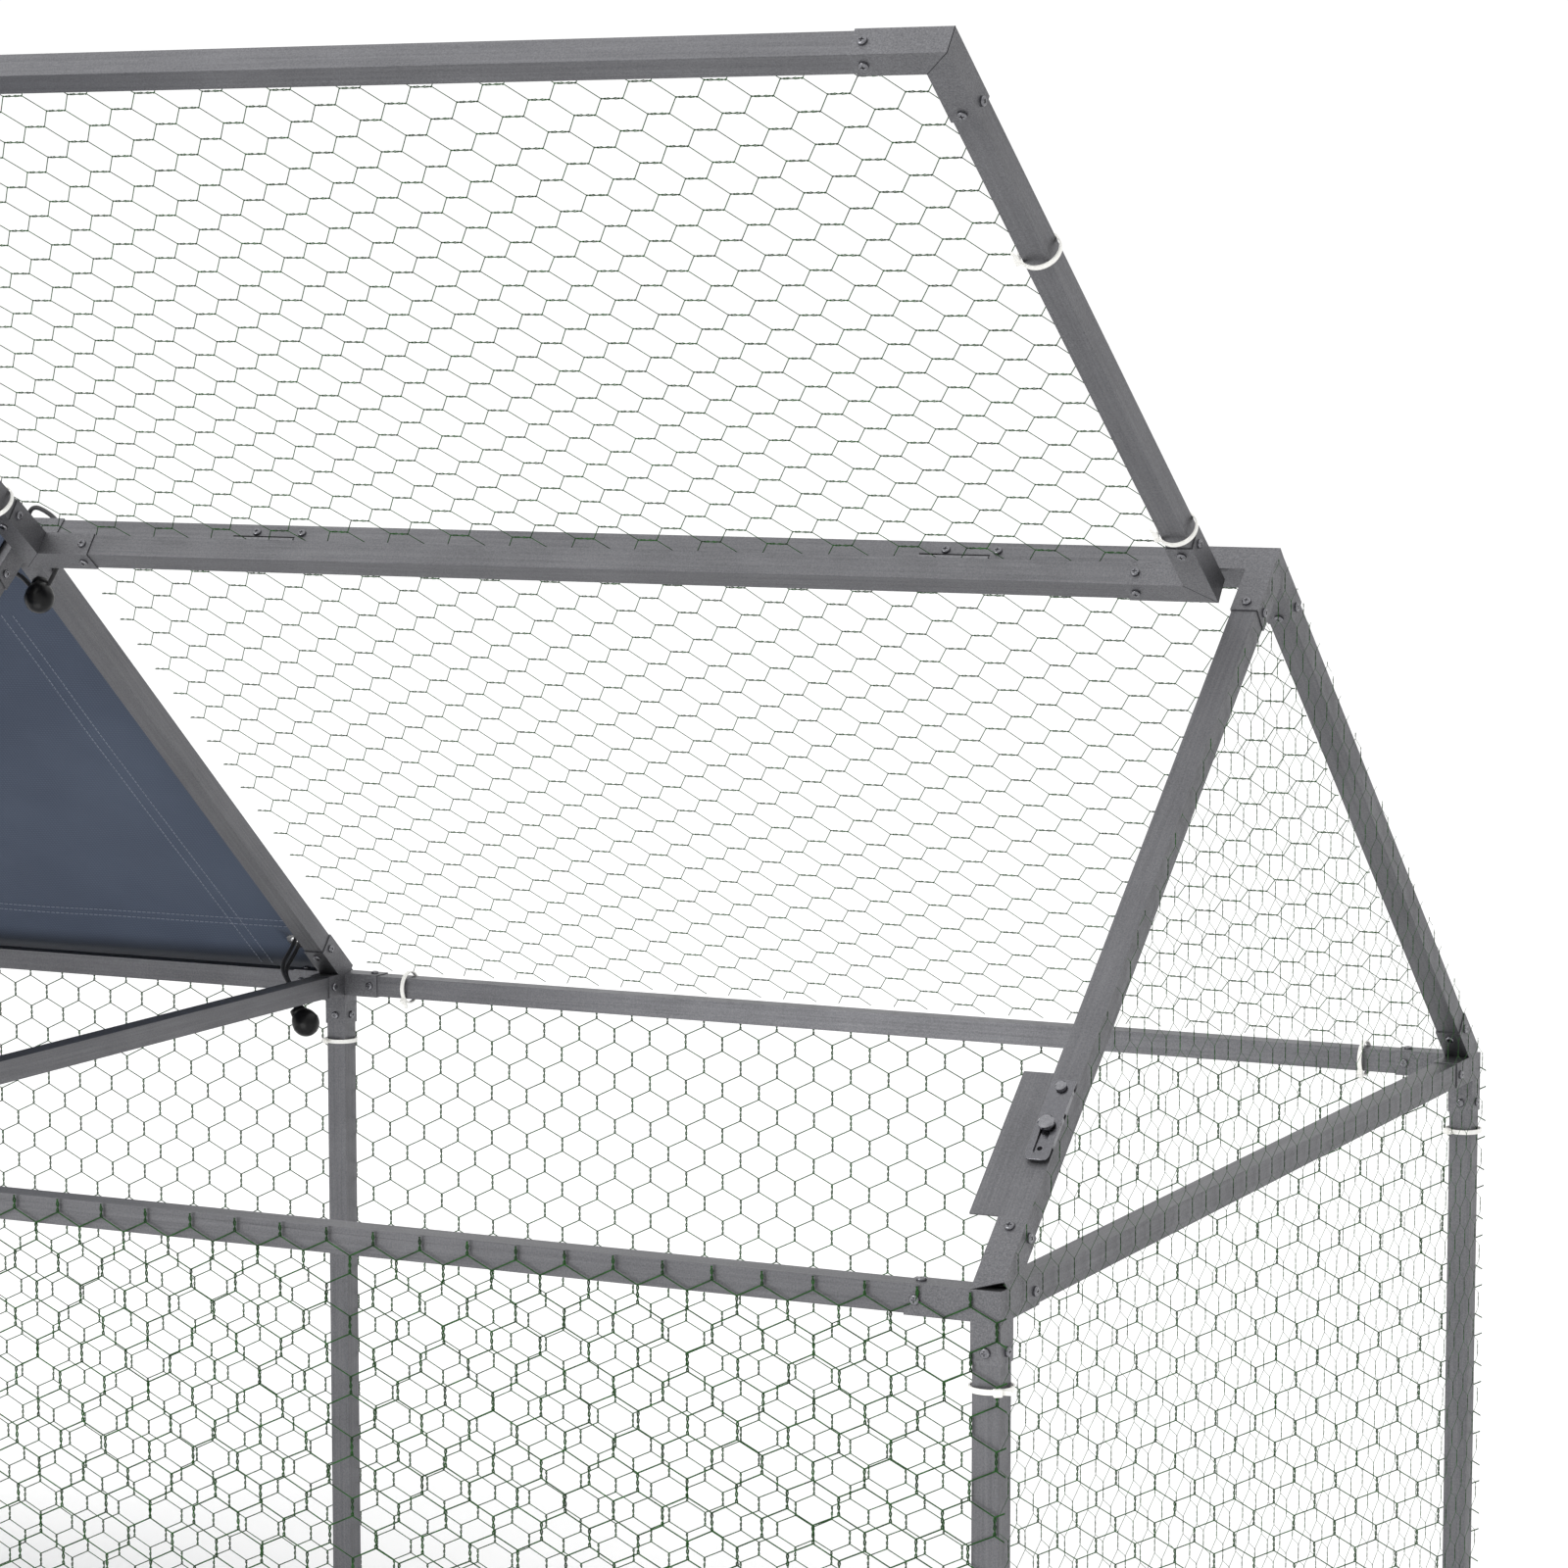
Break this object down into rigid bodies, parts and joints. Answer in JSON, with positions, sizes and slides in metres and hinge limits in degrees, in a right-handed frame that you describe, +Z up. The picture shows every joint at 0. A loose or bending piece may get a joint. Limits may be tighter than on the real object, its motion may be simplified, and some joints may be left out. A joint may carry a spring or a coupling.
{
  "type": "small animal cage",
  "caption": "Pitched-roof wire run for small animals: square steel tube frame, green hexagonal netting, hinged roof lid held open, slide latch and cloth cover over one bay",
  "frame": {"origin": "centre of the footprint on the ground", "axes": "X along the length towards the lid's bay, Y from the front wall to the rear wall, Z up"},
  "size_m": [2.21, 1.0546, 1.4445],
  "materials": {
    "tube_steel": "galvanised square tube, dull grey with a fine lengthwise grain",
    "sleeve_steel": "galvanised sheet sleeve, dull grey with a fine grain",
    "screw_steel": "zinc plated pan-head screw",
    "coated_wire": "dark green plastic coated wire",
    "hinge_steel": "galvanised sheet hinge",
    "latch_steel": "bright zinc plated sheet",
    "tie_nylon": "natural white nylon",
    "cover_cloth": "dark blue-grey coated cloth",
    "eyelet_metal": "bare pressed metal",
    "bungee_cord": "black woven elastic cord",
    "bungee_ball": "black moulded ball"
  },
  "bodies": {
    "cage_frame": {"base_corner_sleeves": "sleeve_steel", "base_middle_sleeves": "sleeve_steel", "bungee_balls": "bungee_ball", "bungee_cords": "bungee_cord", "cover_eyelets": "eyelet_metal", "eave_corner_sleeves": "sleeve_steel", "eave_middle_sleeves": "sleeve_steel", "frame_cable_ties": "tie_nylon", "frame_screws": "screw_steel", "front_left_base_rail": "tube_steel", "front_left_eave_rail": "tube_steel", "front_left_post": "tube_steel", "front_left_rafter": "tube_steel", "front_middle_post": "tube_steel", "front_middle_rafter": "tube_steel", "front_right_base_rail": "tube_steel", "front_right_eave_rail": "tube_steel", "front_right_post": "tube_steel", "front_right_rafter": "tube_steel", "front_wall_netting": "coated_wire", "hinge_frame_leaves": "hinge_steel", "hinge_pins": "hinge_steel", "latch_housing": "latch_steel", "latch_stud": "latch_steel", "left_base_end_rail": "tube_steel", "left_end_netting": "coated_wire", "left_end_rail": "tube_steel", "left_ridge_tube": "tube_steel", "lid_stop_plate": "latch_steel", "middle_tie_rail": "tube_steel", "rear_left_base_rail": "tube_steel", "rear_left_eave_rail": "tube_steel", "rear_left_post": "tube_steel", "rear_left_rafter": "tube_steel", "rear_middle_post": "tube_steel", "rear_middle_rafter": "tube_steel", "rear_right_base_rail": "tube_steel", "rear_right_eave_rail": "tube_steel", "rear_right_post": "tube_steel", "rear_right_rafter": "tube_steel", "rear_roof_netting": "coated_wire", "rear_wall_netting": "coated_wire", "ridge_end_sleeves": "sleeve_steel", "ridge_middle_sleeve": "sleeve_steel", "right_base_end_rail": "tube_steel", "right_end_netting": "coated_wire", "right_end_rail": "tube_steel", "right_ridge_tube": "tube_steel", "roof_cover": "cover_cloth"},
    "lid": {"lid_cable_ties": "tie_nylon", "lid_corner_sleeves": "sleeve_steel", "lid_front_rail": "tube_steel", "lid_hinge_rail": "tube_steel", "lid_left_rail": "tube_steel", "lid_netting": "coated_wire", "lid_right_rail": "tube_steel", "lid_screws": "screw_steel", "hinge_lid_leaves": "hinge_steel"},
    "latch_slider": {"latch_bolt": "latch_steel", "latch_knob": "latch_steel"}
  },
  "joints": [
    {"name": "lid_hinge", "type": "hinge", "parent": "cage_frame", "child": "lid", "pos_m": [0.545, -0.015, 1.0765], "axis": [-1, 0, 0], "range_deg": [-77.6, 40]},
    {"name": "latch_slide", "type": "slide", "parent": "cage_frame", "child": "latch_slider", "axis": [0, -0.7569, -0.6535], "range_m": [0, 0.016]}
  ]
}
